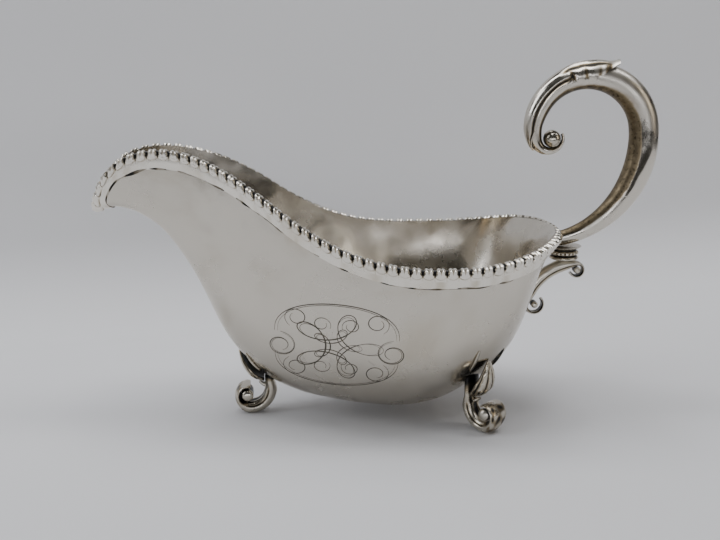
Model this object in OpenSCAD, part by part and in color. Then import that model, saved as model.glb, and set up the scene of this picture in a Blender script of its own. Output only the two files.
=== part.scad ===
// Sauce boat in silver: a raised bowl with a pouring lip, a lobed border in two
// strips, a hollow scroll handle on a bracket, and three cast scroll feet.
// Lengths are in millimetres. +X runs from the lip to the handle and +Z is up.
// The origin is on the table, under the middle of the overall length.

/* [Bowl] */
// Length of the bowl from the lip's tip to the back wall, at the rim
bowl_length = 161; // [140:1:190]
// Width across the bowl's outer wall at its widest
bowl_width = 84; // [72:1:98]
// Thickness of the sheet
wall = 1.0; // [0.7:0.1:1.4]
// Height of the rim at the tip of the lip
tip_height = 76; // [70:1:86]
// Height of the rim at the crest of the lip
crest_height = 96; // [88:1:108]
// Height of the rim at the waist, its lowest place
waist_height = 61; // [54:1:72]
// Height of the rim at the back
back_height = 66; // [60:1:76]
// Clear height under the belly
belly_clearance = 3.5; // [3:0.5:12]

/* [Border] */
// Distance from one lobe of the border to the next
lobe_pitch = 3.9; // [3.2:0.1:5]
// How far a lobe stands out from the wall
lobe_reach = 2.0; // [1.4:0.1:2.6]
// Height of a lobe below the rim's edge
lobe_depth = 2.8; // [2.2:0.1:3.6]
// How far a lobe stands above the rim's edge
lobe_rise = 1.0; // [0.7:0.1:1.5]
// Depth of the plain band that is soldered to the wall, below the edge
band_depth = 6.0; // [5:0.5:8]
// Thickness of the band
band_thick = 0.6; // [0.4:0.1:1]
// Film of solder between two pieces
solder = 0.1; // [0.04:0.02:0.16]

/* [Handle] */
// Thickness of the handle in its own plane, at its fullest
handle_thick = 10.6; // [8:0.2:13]
// Thickness of the handle across its own plane, at its fullest
handle_across = 9.4; // [7:0.2:11]
// Wall of the hollow handle
handle_wall = 1.1; // [0.8:0.1:1.5]
// Thickness of the handle where it meets the rim
root_thick = 5.0; // [4:0.2:6.4]
// Radius of the small ball in the handle's curl
handle_ball_r = 3.2; // [2.6:0.1:3.8]
// Radius of the handle's round head, to its middle line
head_r = 19.8; // [14:0.2:28]
// Radius of the handle's long back curve, to its middle line
sweep_r = 36.4; // [30:0.2:42]
// Thickness of the leaf laid over the handle's head
leaf_thick = 1.2; // [0.5:0.1:2]

/* [Bracket] */
// Largest radius of the collar under the handle's root
collar_r = 6.2; // [5:0.2:7]
// Height of the collar
collar_height = 4.6; // [3.8:0.2:6]
// Thickness of the bracket's scroll in its own plane
bracket_thick = 4.6; // [3:0.2:5]
// Thickness of the bracket's scroll across its plane
bracket_across = 5.0; // [4:0.2:6]
// Radius of the balls in the bracket's two curls
bracket_ball_r = 1.3; // [1:0.1:1.6]

/* [Feet] */
// From the middle of the stance to the front foot, as a share of the bowl's length
front_foot_share = 0.3062; // [0.25:0.001:0.34]
// From there to each back foot, as a share of the mean of the bowl's length and width
back_foot_share = 0.2441; // [0.2:0.001:0.28]
// Angle of the two back feet from the middle line
back_foot_angle = 46; // [35:1:60]
// Thickness of a foot's leg in its own plane
leg_thick = 4.8; // [3.8:0.2:5.6]
// Thickness of a foot's leg across its plane
leg_across = 7.0; // [5.2:0.1:8.6]
// Radius of the ball in a foot's toe
toe_ball_r = 2.2; // [1.8:0.1:2.6]
// Length of the leaf on a foot's knee, from the leg to its tip
knee_leaf = 13.5; // [10:0.5:16]

/* [Hidden] */
$fn = 48;

// ---- Small helpers ----
function clamp(x, low, high) = max(low, min(high, x));
function mix(a, b, t) = a + (b - a) * t;
function unit(v) = v / norm(v);
// Eases from 0 to 1 as x goes from a to b
function ease(a, b, x) = let(t = clamp((x - a) / (b - a), 0, 1)) t * t * (3 - 2 * t);

// ---- Bowl: a table of offsets, as a boat builder writes it ----
// Each row is a rib, at even steps of the angle that runs from the lip's tip to the back wall.
// Columns: half width as a share of the widest, rim height, keel height, fullness of the rib.
HALF = 0;
RIM = 1;
KEEL = 2;
FULL = 3;
function lip(t) = mix(tip_height, crest_height, t);
function fall(t) = mix(waist_height, crest_height, t);
function climb(t) = mix(waist_height, back_height, t);
function bow(t) = mix(belly_clearance, tip_height, t);
function stern(t) = mix(belly_clearance, back_height, t);
OFFSETS = [
    [0,     lip(0),      bow(1),       1.5],
    [0.062, lip(0.17),   bow(1),       1.7],
    [0.108, lip(0.53),   bow(1),       1.8],
    [0.142, lip(0.81),   bow(0.997),   1.8],
    [0.165, lip(0.955),  bow(0.964),   1.8],
    [0.19, lip(1),      bow(0.873),   1.8],
    [0.255, fall(0.954), bow(0.672),    1.75],
    [0.39, fall(0.834), bow(0.36),    1.65],
    [0.56, fall(0.637), bow(0.172),   1.55],
    [0.70, fall(0.389), bow(0.077),   1.5],
    [0.825, fall(0.189), bow(0.033),   1.55],
    [0.914, fall(0.063), bow(0.007),   1.62],
    [0.981, fall(0.009), bow(0),       1.7],
    [1,     fall(0),     stern(0.034), 1.75],
    [0.976, climb(0.04), stern(0.12), 1.75],
    [0.905, climb(0.24), stern(0.225), 1.68],
    [0.793, climb(0.54), stern(0.40), 1.55],
    [0.633, climb(0.82), stern(0.72),  1.4],
    [0.438, climb(0.96), stern(0.91),  1.25],
    [0.224, climb(1),    stern(0.982),  1.1],
    [0,     climb(1),    stern(1),     1.02]
];
LAST_ROW = len(OFFSETS) - 1;
// Past its ends the table is its own mirror image, and a half width changes sign there
function offset_row(c, i) =
    let(j = i < 0 ? -i : i > LAST_ROW ? 2 * LAST_ROW - i : i)
    (c == HALF && j != i ? -1 : 1) * OFFSETS[j][c];
// Smooth value of column c at u, by a Catmull-Rom curve through the rows
function offset_at(c, u) =
    let(t = u * LAST_ROW, i = min(floor(t), LAST_ROW - 1), f = t - i,
        p = [for (k = [-1:2]) offset_row(c, i + k)])
    0.5 * (2 * p[1] + (p[2] - p[0]) * f + (2 * p[0] - 5 * p[1] + 4 * p[2] - p[3]) * f * f
        + (3 * p[1] - p[0] - 3 * p[2] + p[3]) * f * f * f);
// Exponent of a rib across the keel: flat under the belly, rounder at the back
function rib_round(u) = mix(2.5, 1.9, ease(0.65, 0.95, u));
function rib_x(u) = bowl_length * (1 - cos(180 * u)) / 2;
function rib_u(x) = acos(clamp(1 - 2 * x / bowl_length, -1, 1)) / 180;
function half_width(u) = max(0, offset_at(HALF, u)) * bowl_width / 2;
// Height above the keel as a share of the rib's depth, at share s of the half width
function rib_rise(u, s) =
    1 - pow(max(0, 1 - pow(min(1, abs(s)), rib_round(u))), 1 / offset_at(FULL, u));
// Point on the outer wall: u from lip (0) to back (1), w from left rim (-1) over the keel to right (1)
function bowl_point(u, w) =
    let(s = sin(90 * w), keel = offset_at(KEEL, u))
    [rib_x(u), half_width(u) * s, keel + (offset_at(RIM, u) - keel) * rib_rise(u, s)];
// Outward normal of the outer wall
function bowl_normal(u, w) =
    let(e = 0.004, a = clamp(u, 3 * e, 1 - 3 * e), b = clamp(w, e - 1, 1 - e))
    unit(cross(bowl_point(a, b + e) - bowl_point(a, b - e),
        bowl_point(a + e, b) - bowl_point(a - e, b)));
// Height of the outer wall's underside at a place in plan
function bowl_floor(x, y) =
    let(u = rib_u(x), keel = offset_at(KEEL, u))
    keel + (offset_at(RIM, u) - keel) * rib_rise(u, y / max(0.01, half_width(u)));
// Where the back wall's outside is, at a height: halves the range from a to b
function back_wall_x(y, z, a = undef, b = undef, n = 18) =
    let(low = is_undef(a) ? bowl_length * 0.6 : a, high = is_undef(b) ? bowl_length : b,
        mid = (low + high) / 2)
    n == 0 ? mid
        : bowl_floor(mid, y) > z || half_width(rib_u(mid)) < abs(y)
            ? back_wall_x(y, z, low, mid, n - 1)
            : back_wall_x(y, z, mid, high, n - 1);

// ---- Closed solids from rings of points ----
function ring_faces(rings, count) = [
    for (i = [0:rings - 2], j = [0:count - 1])
        let(a = i * count + j, b = i * count + (j + 1) % count)
        each [[a, b, a + count], [b, b + count, a + count]]
];
module skin(rings) {
    count = len(rings[0]);
    last = (len(rings) - 1) * count;
    polyhedron(
        points = [for (r = rings) each r],
        faces = concat(ring_faces(len(rings), count),
            [[for (j = [count - 1:-1:0]) j], [for (j = [0:count - 1]) last + j]]));
}
// The same rings walked the other way, for a mirrored piece
function reversed(rings) = [for (r = rings) [for (j = [len(r) - 1:-1:0]) r[j]]];

// ---- Paths made of arcs, in the upright plane ----
WIDEST_STEP = 18; // most degrees from one step to the next
// An arc is [radius, turn]; turns go to the left. A step is [[along, up], heading, length so far].
function arc_centre(p, heading, radius) = p + radius * [-sin(heading), cos(heading)];
function arc_place(centre, heading, radius) = centre + radius * [sin(heading), -cos(heading)];
function arc_path(p, heading, arcs, step, i = 0, run = 0) =
    i == len(arcs) ? [[p, heading, run]]
        : let(radius = arcs[i][0], turn = arcs[i][1], c = arc_centre(p, heading, radius),
            length = radius * turn * PI / 180, n = max(1, round(length / step), ceil(turn / WIDEST_STEP)))
        concat(
            [for (k = [0:n - 1]) let(h = heading + turn * k / n)
                [arc_place(c, h, radius), h, run + length * k / n]],
            arc_path(arc_place(c, heading + turn, radius), heading + turn,
                arcs, step, i + 1, run + length));
// Share of the path's length at step i
function along(path, i) = path[i][2] / path[len(path) - 1][2];
// A place beside a step: out to the right of its heading, and across the plane
function beside(step, out, across) = [
    step[0][0] + out * sin(step[1]), across, step[0][1] - out * cos(step[1])
];

// ---- Where things stand ----
border_out = lobe_reach + solder;
belly_u = 12 / LAST_ROW;
STANCE_AFT = 2.5; // the middle of the stance is this far behind the bowl's deepest place
stance_x = rib_x(belly_u) + STANCE_AFT;

// How far the border's outer face is from the wall at a drop below the rim, measured level
WALL_LEAN = 1.12; // a level cut through the leaning border is this much thicker than a square one
function border_face(drop) = WALL_LEAN
    * lookup(drop, [[lobe_depth * 0.8, border_out], [lobe_depth * 1.1, band_thick + solder]]) + 2 * solder;
// Handle: its root is cut to fit against the border at the back
root_z = back_height - lobe_depth * 0.3 - root_thick / 2;
root_x = back_wall_x(0, root_z) + border_face(back_height - root_z);
HANDLE_ARCS = [
    [root_thick * 1.77, 33], [sweep_r, 83], [head_r, 163], [head_r * 0.6, 26],
    [handle_ball_r + 2.9, 40], [handle_ball_r + 2.2, 44], [handle_ball_r + 1.5, 52], [handle_ball_r + 0.8, 54]
];
HANDLE_STEP = 3.2;
handle_path = arc_path([root_x, root_z], -19, HANDLE_ARCS, HANDLE_STEP);
HANDLE_LAST = len(handle_path) - 1;
// Share of the full thickness along the handle: it swells up the sweep, and thins round the head and curl
function handle_share(t) = mix(root_thick / handle_thick, 1, ease(-0.03, 0.36, t))
    * mix(1, 0.66, ease(0.5, 0.8, t)) * mix(1, 0.12, ease(0.78, 1.02, t));
handle_back_x = max([for (i = [0:HANDLE_LAST])
    beside(handle_path[i], handle_share(along(handle_path, i)) * handle_thick / 2, 0)[0]]);
// The middle of the overall length goes to the origin
x_mid = (handle_back_x - lobe_rise) / 2;
module placed() translate([-x_mid, 0, 0]) children();

// ---- Bowl ----
// The rim's length from the tip, at even steps of u
RIM_SAMPLES = 160;
rim_run = [for (i = 0, run = 0; i <= RIM_SAMPLES;
    run = run + norm(bowl_point(min(1, (i + 1) / RIM_SAMPLES), -1) - bowl_point(i / RIM_SAMPLES, -1)),
    i = i + 1) [run, i / RIM_SAMPLES]];
rim_length = rim_run[RIM_SAMPLES][0];
// u at a share of the rim's length
function rim_u(t) = t == 0 ? 0 : t == 1 ? 1 : lookup(rim_length * t, rim_run);
RIBS = 78;
RIB_STEPS = 16;
// The sheet thins towards the lip's tip, where the rib is narrower than the sheet
function sheet(u) = wall * clamp(half_width(u) / (1.7 * wall), u < 0.5 ? 0.5 : 1, 1);
function bowl_shell_point(u, w, inside) =
    bowl_point(u, w) - (inside ? sheet(u) : 0) * bowl_normal(u, w);
module bowl() {
    across = RIB_STEPS + 1;
    skin_size = (RIBS - 1) * across;
    function at(inside, i, j) =
        i == 0 ? 2 * skin_size + (inside ? 1 : 0)
            : i == RIBS ? 2 * skin_size + (inside ? 3 : 2)
            : (inside ? skin_size : 0) + (i - 1) * across + j;
    function quad(a, b, c, d) = concat(a == b || b == c || a == c ? [] : [[a, b, c]],
        a == c || c == d || a == d ? [] : [[a, c, d]]);
    grid = [for (inside = [false, true], i = [1:RIBS - 1], j = [0:RIB_STEPS])
        bowl_shell_point(rim_u(i / RIBS), 2 * j / RIB_STEPS - 1, inside)];
    poles = [for (u = [0, 1], inside = [false, true]) bowl_shell_point(u, 0, inside)];
    outer = [for (i = [0:RIBS - 1], j = [0:RIB_STEPS - 1])
        each quad(at(false, i, j), at(false, i + 1, j), at(false, i + 1, j + 1), at(false, i, j + 1))];
    inner = [for (i = [0:RIBS - 1], j = [0:RIB_STEPS - 1])
        each quad(at(true, i, j), at(true, i, j + 1), at(true, i + 1, j + 1), at(true, i + 1, j))];
    edge = [for (i = [0:RIBS - 1]) each concat(
        quad(at(false, i, 0), at(true, i, 0), at(true, i + 1, 0), at(false, i + 1, 0)),
        quad(at(false, i, RIB_STEPS), at(false, i + 1, RIB_STEPS),
            at(true, i + 1, RIB_STEPS), at(true, i, RIB_STEPS)))];
    color("silver") placed()
        polyhedron(points = concat(grid, poles), faces = concat(outer, inner, edge));
}

// ---- Border ----
LOBES = round(rim_length / lobe_pitch);
RINGS_PER_LOBE = 3;
// Level direction out of the rim at u on one side; straight fore or aft at its two ends.
// Round the lip it points away from a place inside that is further off than the band is deep.
LIP_AIM = 1.35;
function rim_out(u, side) =
    u == 0 ? [-1, 0] : u == 1 ? [1, 0]
        : let(e = min(0.01, u / 2, (1 - u) / 2), d = bowl_point(u + e, side) - bowl_point(u - e, side),
            p = bowl_point(u, side), square = p[0] + p[1] * d[1] / d[0])
        side * d[1] > 0 ? unit([p[0] - max(square, band_depth * LIP_AIM), p[1]])
            : unit([side * -d[1], side * d[0]]);
// How far in from the rim, in plan, the wall is at a distance down its face: halves the range a to b
function wall_in(p, out, distance, a = 0, b = undef, n = 14) =
    let(high = is_undef(b) ? distance : b, mid = (a + high) / 2,
        drop = p[2] - bowl_floor(p[0] - out[0] * mid, p[1] - out[1] * mid))
    n == 0 ? [mid, drop]
        : norm([mid, drop]) > distance ? wall_in(p, out, distance, a, mid, n - 1)
            : wall_in(p, out, distance, mid, high, n - 1);
// The border's section: each row is [distance down the wall, distance out from it].
// The lobes stand above the strip's inner edge and bulge over its face.
FACE_STEPS = 4;
NOTCH_SWELL = 0.55; // a notch's bulge as a share of a lobe's
NOTCH_RISE = 0.6;
function border_section(swell) =
    let(base = solder + band_thick,
        reach = base + (lobe_reach - band_thick) * swell,
        rise = lobe_rise * mix(NOTCH_RISE, 1, swell))
    concat(
        [for (j = [FACE_STEPS:-1:0]) [band_depth * j / FACE_STEPS, solder]],
        [[-solder, -wall], [-rise * 0.75, -wall], [-rise, reach * 0.45], [-rise * 0.3, reach],
            [lobe_depth * 0.55, reach], [lobe_depth, base], [band_depth, base]]);
// A section point laid on the wall: stations are places down the wall, dirs its slopes there
function laid(q, stations, dirs) =
    let(t = max(0, q[0]) / band_depth * FACE_STEPS, j = min(floor(t), FACE_STEPS - 1),
        dir = unit(mix(dirs[j], dirs[j + 1], t - j)),
        at = mix(stations[j], stations[j + 1], t - j) + min(0, q[0]) * dir)
    [at[0] - q[1] * dir[1], at[1] + q[1] * dir[0]];
// side is -1 for the left strip and 1 for the right one
function border_ring(k, side) =
    let(u = rim_u(k / (LOBES * RINGS_PER_LOBE)), p = bowl_point(u, side), out = rim_out(u, side),
        stations = [for (j = [0:FACE_STEPS])
            j == 0 ? [0, 0] : wall_in(p, out, band_depth * j / FACE_STEPS)],
        dirs = [for (j = [0:FACE_STEPS]) unit(stations[min(j + 1, FACE_STEPS)] - stations[max(j - 1, 0)])])
    [for (q = border_section(k % RINGS_PER_LOBE == 0 ? NOTCH_SWELL : 1)) let(d = laid(q, stations, dirs))
        [p[0] - out[0] * d[0], p[1] - out[1] * d[0], p[2] - d[1]]];
module rim_border(side) {
    rings = [for (k = [0:LOBES * RINGS_PER_LOBE]) border_ring(k, side)];
    color("silver") placed() skin(side > 0 ? rings : reversed(rings));
}

// ---- Handle ----
HALF_SIDES = 7;
THIN_CORE = 0.5; // where the tube is thin, its hollow keeps this share of its size
// Half of a hollow section, from the outside of the curve round to its inside
function half_ring(i, side) =
    let(share = handle_share(along(handle_path, i)), step = handle_path[i],
        t = share * handle_thick / 2,
        a = share * handle_across / 2,
        core_t = max(t * THIN_CORE, t - handle_wall),
        core_a = max(a * THIN_CORE, a - handle_wall),
        ring = concat(
            [for (j = [0:HALF_SIDES]) let(q = 180 * j / HALF_SIDES)
                beside(step, t * cos(q), side * a * sin(q))],
            [for (j = [HALF_SIDES:-1:0]) let(q = 180 * j / HALF_SIDES)
                beside(step, core_t * cos(q), side * core_a * sin(q))]))
    i > 0 ? ring : [for (p = ring)
        [back_wall_x(p[1], p[2]) + border_face(back_height - p[2]), p[1], p[2]]];
module handle_half(side) {
    rings = [for (i = [0:HANDLE_LAST]) half_ring(i, side)];
    color("silver") placed() skin(side < 0 ? rings : reversed(rings));
}
// The ball sits at the centre of the handle's last arc
ball_step = handle_path[HANDLE_LAST];
ball_centre = arc_centre(ball_step[0], ball_step[1], handle_ball_r + 0.8);
module handle_ball() {
    color("silver") placed() translate([ball_centre[0], 0, ball_centre[1]]) sphere(r = handle_ball_r);
}
// The leaf lies over the outside of the head, and its tail lifts off as a thumb spur
LEAF_FROM = 0.58;
LEAF_TO = 0.9;
LEAF_SIDES = 12;
LEAF_GAP = 3 * solder;
SPUR_SPREAD = 38; // degrees the leaf reaches round the tube to each side, at its spur
LEAF_SPREAD = 104; // and at its widest
SPUR_LIFT = 2.4;
function leaf_ring(i) =
    let(f = (along(handle_path, i) - LEAF_FROM) / (LEAF_TO - LEAF_FROM), step = handle_path[i],
        share = handle_share(along(handle_path, i)),
        t = share * handle_thick / 2 + LEAF_GAP,
        a = share * handle_across / 2 + LEAF_GAP,
        spread = mix(SPUR_SPREAD, LEAF_SPREAD, ease(0, 0.18, f)) * mix(1, 0.9, ease(0.2, 0.5, f))
            * mix(1, 0.4, ease(0.85, 1, f)),
        lift = SPUR_LIFT * pow(1 - ease(0, 0.12, f), 2),
        thick = leaf_thick * mix(1, 0.5, f))
    concat(
        [for (j = [LEAF_SIDES:-1:0]) let(q = spread * (2 * j / LEAF_SIDES - 1))
            beside(step, (t + thick) * cos(q) + lift, (a + thick) * sin(q))],
        [for (j = [0:LEAF_SIDES]) let(q = spread * (2 * j / LEAF_SIDES - 1))
            beside(step, t * cos(q) + lift, a * sin(q))]);
module handle_leaf() {
    color("gainsboro") placed() skin([for (i = [0:HANDLE_LAST])
        if (along(handle_path, i) > LEAF_FROM && along(handle_path, i) < LEAF_TO) leaf_ring(i)]);
}

// ---- Bracket ----
// The collar hangs under the handle's root, and the scroll hangs under the collar
collar_x = root_x + collar_r * 0.9;
// The underside of the handle's root, at its lowest over the collar
collar_top = min([for (i = [0:HANDLE_LAST])
    let(half = handle_share(along(handle_path, i)) * handle_thick / 2,
        p = beside(handle_path[i], half, 0))
    if (abs(p[0] - collar_x) < collar_r) p[2]]) - solder;
collar_foot = collar_top - collar_height;
module handle_collar() {
    r = collar_r;
    h = collar_height;
    color("silver") placed() translate([collar_x, 0, collar_foot]) rotate_extrude()
        polygon([[0, 0], [r * 0.8, 0], [r * 0.86, h * 0.1], [r * 0.68, h * 0.3], [r * 0.84, h * 0.42],
            [r * 0.84, h * 0.58], [r * 0.7, h * 0.7], [r * 0.74, h * 0.84], [r, h * 0.96], [r, h], [0, h]]);
}
upper_curl_r = bracket_ball_r + 1.1;
lower_curl_r = bracket_ball_r + 1.9;
upper_eye = [collar_x + 4.8, collar_foot - solder - bracket_thick * 0.4 - upper_curl_r];
lower_reach = 75; // degrees the arch turns through
// The arch is as wide as it takes for the scroll's back to lie on the bowl's wall
arch_r = (upper_eye[0] - back_wall_x(0, upper_eye[1] - 10) - bracket_thick * 0.36) / sin(lower_reach);
BRACKET_ARCS = [[upper_curl_r, 240], [arch_r, lower_reach], [lower_curl_r, 230]];
bracket_path = arc_path(arc_place(upper_eye, -60, upper_curl_r), -60, BRACKET_ARCS, 1.5);
BRACKET_LAST = len(bracket_path) - 1;
BRACKET_SIDES = 10;
lower_eye = arc_centre(bracket_path[BRACKET_LAST][0], bracket_path[BRACKET_LAST][1], lower_curl_r);
function bracket_share(t) = mix(0.24, 1, ease(0.16, 0.34, t) * (1 - ease(0.62, 0.84, t)));
function bracket_ring(i) =
    let(share = bracket_share(along(bracket_path, i)), t = share * bracket_thick / 2,
        a = mix(0.7, 1, share) * bracket_across / 2, step = bracket_path[i])
    [for (j = [0:BRACKET_SIDES - 1])
        let(q = -360 * j / BRACKET_SIDES, p = beside(step, t * cos(q), a * sin(q)))
        [max(p[0], back_wall_x(p[1], p[2]) + solder), p[1], p[2]]];
module bracket_scroll() {
    color("silver") placed() skin([for (i = [0:BRACKET_LAST]) bracket_ring(i)]);
}
// A turned pin with domed ends, lying across the plane
module eye(radius, across) {
    dome = radius * 0.7;
    rotate([90, 0, 0]) rotate_extrude()
        polygon(concat(
            [for (q = [-90:15:0]) [radius * cos(q), -across / 2 + dome * sin(q)]],
            [for (q = [0:15:90]) [radius * cos(q), across / 2 + dome * sin(q)]]));
}
module bracket_eye(centre) {
    color("silver") placed() translate([centre[0], 0, centre[1]])
        eye(bracket_ball_r - solder, bracket_across * 0.6);
}

// ---- Feet ----
// A foot is drawn in its own plane: out from the knee, and up from the table
TOE_ACROSS = 1.3; // the toe's width as a share of the leg's
toe_wrap = toe_ball_r + solder;
toe_slack = 0.9; // from the pin to the middle of the toe's last arc
LEG_ARCS = [[9, 16], [7, 89], [toe_wrap + 2.6, 66], [toe_wrap + 1.8, 60], [toe_wrap + toe_slack, 74]];
// Share of the full thickness along the leg: full at the shank, thin in the toe
function leg_share(t) = mix(0.74, 1, ease(0, 0.14, t)) * mix(1, 0.5, ease(0.5, 0.75, t))
    * mix(1, 0.4, ease(0.7, 1, t));
leg_draft = arc_path([0, 0], -106, LEG_ARCS, 1.5);
LEG_LAST = len(leg_draft) - 1;
// The lowest point of the arcs decides how high the leg hangs, less a small flat to stand on
STAND_FLAT = 0.4;
LEG_SIDES = 12;
leg_lowest = min([for (i = [0:LEG_LAST])
    leg_draft[i][0][1] - leg_share(along(leg_draft, i)) * leg_thick / 2]);
leg_path = [for (s = leg_draft) [[s[0][0], s[0][1] - leg_lowest - STAND_FLAT], s[1], s[2]]];
leg_top = leg_path[0][0][1];
toe_end = leg_path[LEG_LAST];
toe_centre = arc_centre(toe_end[0], toe_end[1], toe_wrap + toe_slack);
front_foot_r = front_foot_share * bowl_length;
back_foot_r = back_foot_share * (bowl_length + bowl_width) / 2;
// From the foot's own plane to the bowl's: turned about the middle of the stance
function foot_place(p, angle) = let(out = (angle == 180 ? front_foot_r : back_foot_r) + p[0])
    [stance_x + out * cos(angle) - p[1] * sin(angle), out * sin(angle) + p[1] * cos(angle), p[2]];
function leg_ring(i, angle) =
    let(f = along(leg_path, i), share = leg_share(f), t = share * leg_thick / 2,
        a = mix(1, TOE_ACROSS, ease(0.3, 0.75, f)) * leg_across / 2, step = leg_path[i])
    [for (j = [0:LEG_SIDES - 1]) let(q = -360 * j / LEG_SIDES, p = beside(step, t * cos(q), a * sin(q)))
        [p[0], p[1], max(0, p[2])]];
// The knee rises straight from the leg's first ring to the bowl's underside, and follows it
function knee_ring(angle, size) =
    [for (p = leg_ring(0, angle)) let(q = foot_place([p[0] * size, p[1] * size, 0], angle))
        [q[0], q[1], bowl_floor(q[0], q[1]) - 2 * solder]];
// A small thorn stands out from the shank, under the leaf
SPUR_ARCS = [[3.4, 62]];
SPUR_SIDES = 6;
SPUR_ROOT_R = 1.15;
SPUR_TIP_R = 0.4;
SPUR_ACROSS = 1.3; // the thorn's width as a share of its thickness
spur_path = arc_path([0.4, leg_top - 1.5], -8, SPUR_ARCS, 0.9);
SPUR_LAST = len(spur_path) - 1;
function spur_ring(i, angle) = let(r = mix(SPUR_ROOT_R, SPUR_TIP_R, i / SPUR_LAST))
    [for (j = [0:SPUR_SIDES - 1]) let(q = -360 * j / SPUR_SIDES)
        foot_place(beside(spur_path[i], r * cos(q), SPUR_ACROSS * r * sin(q)), angle)];
module foot_leg(angle) {
    rings = concat([knee_ring(angle, 0.5), knee_ring(angle, 1)],
        [for (i = [0:LEG_LAST]) [for (p = leg_ring(i, angle)) foot_place(p, angle)]]);
    color("silver") placed() {
        skin(rings);
        skin([for (i = [0:SPUR_LAST]) spur_ring(i, angle)]);
    }
}
module foot_eye(angle) {
    p = foot_place([toe_centre[0], 0, toe_centre[1]], angle);
    color("silver") placed() translate(p) rotate([0, 0, angle])
        eye(toe_ball_r, leg_across * TOE_ACROSS * 0.75);
}
// The leaf is a cupped blade that springs from the knee and lies back against the bowl at its tip
LEAF_ROWS = 9;
LEAF_COLUMNS = 6;
leaf_start = [leg_share(0) * leg_thick / 2 + solder, leg_top + 1.2];
// In the foot's plane, the bowl's underside at a distance out
function floor_at(out, angle) =
    let(q = foot_place([out, 0, 0], angle)) bowl_floor(q[0], q[1]) - 2 * solder;
// Halves the range a to b for the place on the bowl that is the leaf's length from its start
function leaf_tip(angle, a, b, n = 14) =
    let(mid = (a + b) / 2, p = [mid, floor_at(mid, angle)])
    n == 0 ? p
        : norm(p - leaf_start) > knee_leaf ? leaf_tip(angle, a, mid, n - 1)
            : leaf_tip(angle, mid, b, n - 1);
// The spine is a bend from start to tip by way of a corner set out from the knee
function bend(p, q, r, t) = mix(mix(p, q, t), mix(q, r, t), t);
BLADE_THICK = 1.1;
BLADE_TIP_THICK = 0.6;
BLADE_CUP = 2.2; // how far the blade's edges turn up at its middle
BLADE_HALF = 0.46; // half its width as a share of its length
function blade_point(f, g, face, angle) =
    let(tip = leaf_tip(angle, leaf_start[0] - 3, leaf_start[0] + knee_leaf),
        corner = leaf_start + knee_leaf * [0.56, 0.06],
        run = mix(corner - leaf_start, tip - corner, f), heading = atan2(run[1], run[0]),
        half = knee_leaf * BLADE_HALF * pow(sin(180 * pow(mix(0.12, 0.985, f), 0.85)), 0.75),
        cup = BLADE_CUP * g * g * sin(180 * mix(0.15, 1, f)),
        thick = mix(BLADE_THICK, BLADE_TIP_THICK, f),
        p = beside([bend(leaf_start, corner, tip, f), heading], (face ? thick : 0) - cup, half * g),
        q = foot_place(p, angle))
    [q[0], q[1], min(q[2], bowl_floor(q[0], q[1]) - (face ? 5 : 2) * solder)];
module foot_leaf(angle) {
    rings = [for (i = [0:LEAF_ROWS]) concat(
        [for (j = [LEAF_COLUMNS:-1:0]) blade_point(i / LEAF_ROWS, 2 * j / LEAF_COLUMNS - 1, true, angle)],
        [for (j = [0:LEAF_COLUMNS]) blade_point(i / LEAF_ROWS, 2 * j / LEAF_COLUMNS - 1, false, angle)])];
    color("gainsboro") placed() skin(rings);
}

bowl();
rim_border(-1);  // rim_border_left
rim_border(1);  // rim_border_right
handle_half(-1);  // handle_half_left
handle_half(1);  // handle_half_right
handle_leaf();
handle_ball();
handle_collar();
bracket_scroll();
bracket_eye(upper_eye);  // bracket_eye_upper
bracket_eye(lower_eye);  // bracket_eye_lower
foot_leg(180);  // front_foot_leg
foot_leaf(180);  // front_foot_leaf
foot_eye(180);  // front_foot_eye
foot_leg(-back_foot_angle);  // back_left_foot_leg
foot_leaf(-back_foot_angle);  // back_left_foot_leaf
foot_eye(-back_foot_angle);  // back_left_foot_eye
foot_leg(back_foot_angle);  // back_right_foot_leg
foot_leaf(back_foot_angle);  // back_right_foot_leaf
foot_eye(back_foot_angle);  // back_right_foot_eye
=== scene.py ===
"""Looks of the silver sauce boat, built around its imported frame.

Shapes are worked out in millimetres, with the same formulas and sizes as the part, and
go into the meshes in metres. x runs along the bowl from the lip's tip, y is across,
z is up from the table. Angles are in degrees.
"""
import math

import bpy
import numpy as np
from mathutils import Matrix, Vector


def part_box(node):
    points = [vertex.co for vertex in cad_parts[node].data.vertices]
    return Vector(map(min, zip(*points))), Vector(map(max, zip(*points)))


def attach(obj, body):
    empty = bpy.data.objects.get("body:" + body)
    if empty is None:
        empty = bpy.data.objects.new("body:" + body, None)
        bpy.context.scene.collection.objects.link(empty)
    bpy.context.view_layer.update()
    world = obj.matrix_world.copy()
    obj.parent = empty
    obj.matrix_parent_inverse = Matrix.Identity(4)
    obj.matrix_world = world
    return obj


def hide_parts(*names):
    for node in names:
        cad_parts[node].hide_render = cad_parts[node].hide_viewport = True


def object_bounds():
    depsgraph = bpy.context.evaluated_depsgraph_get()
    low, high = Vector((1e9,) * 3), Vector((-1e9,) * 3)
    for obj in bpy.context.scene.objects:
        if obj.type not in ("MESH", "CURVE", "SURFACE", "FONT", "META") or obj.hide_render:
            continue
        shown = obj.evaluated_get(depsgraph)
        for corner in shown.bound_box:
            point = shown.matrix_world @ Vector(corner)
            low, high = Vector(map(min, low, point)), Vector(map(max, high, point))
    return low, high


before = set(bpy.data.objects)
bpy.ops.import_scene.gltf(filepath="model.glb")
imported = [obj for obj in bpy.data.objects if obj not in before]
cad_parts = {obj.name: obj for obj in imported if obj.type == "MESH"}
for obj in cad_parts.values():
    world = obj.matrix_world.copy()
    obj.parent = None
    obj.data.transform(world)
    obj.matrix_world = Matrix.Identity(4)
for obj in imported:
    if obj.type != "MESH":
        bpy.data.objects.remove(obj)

CAD_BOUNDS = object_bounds()
MM = 0.001
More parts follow.
